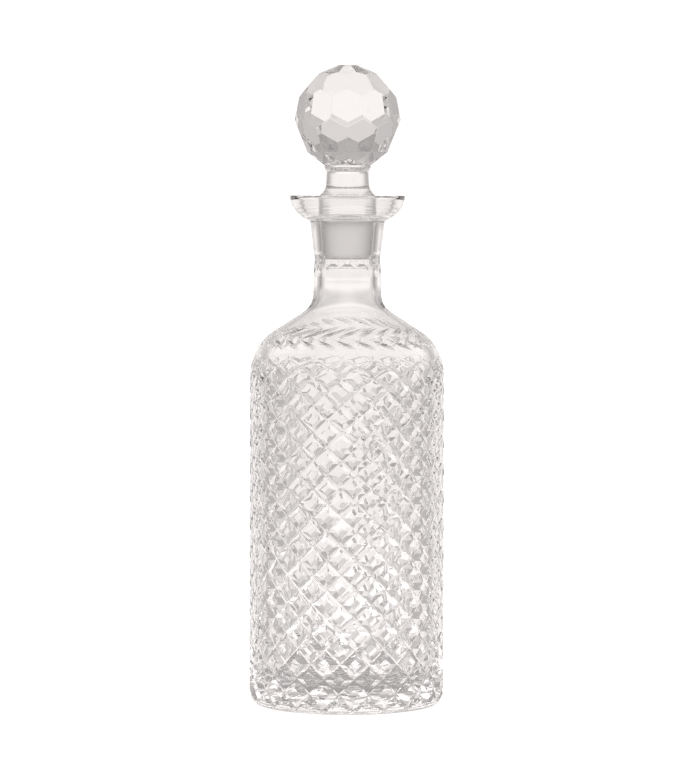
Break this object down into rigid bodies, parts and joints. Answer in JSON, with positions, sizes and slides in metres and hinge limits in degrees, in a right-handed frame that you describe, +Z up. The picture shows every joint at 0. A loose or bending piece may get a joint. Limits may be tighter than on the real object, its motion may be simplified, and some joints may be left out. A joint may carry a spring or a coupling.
{
  "type": "wine decanter",
  "caption": "Straight-sided cut-crystal wine decanter with diamond cutting, flared lip and a ground-in faceted ball stopper.",
  "frame": {"origin": "centre of the foot, on the plane the decanter stands on", "axes": "+Z up along the decanter's axis, which is also the way the stopper lifts; -Y is the front"},
  "size_m": [0.0944, 0.0944, 0.31],
  "materials": {
    "bottle_crystal": "clear cut crystal, polished",
    "stopper_crystal": "clear cut crystal, polished, with a ground matt taper"
  },
  "bodies": {
    "decanter": {"bottle": "bottle_crystal"},
    "stopper": {"stopper": "stopper_crystal"}
  },
  "joints": [
    {"name": "stopper_lift", "type": "slide", "parent": "decanter", "child": "stopper", "axis": [0, 0, 1], "range_m": [0, 0.06]}
  ]
}
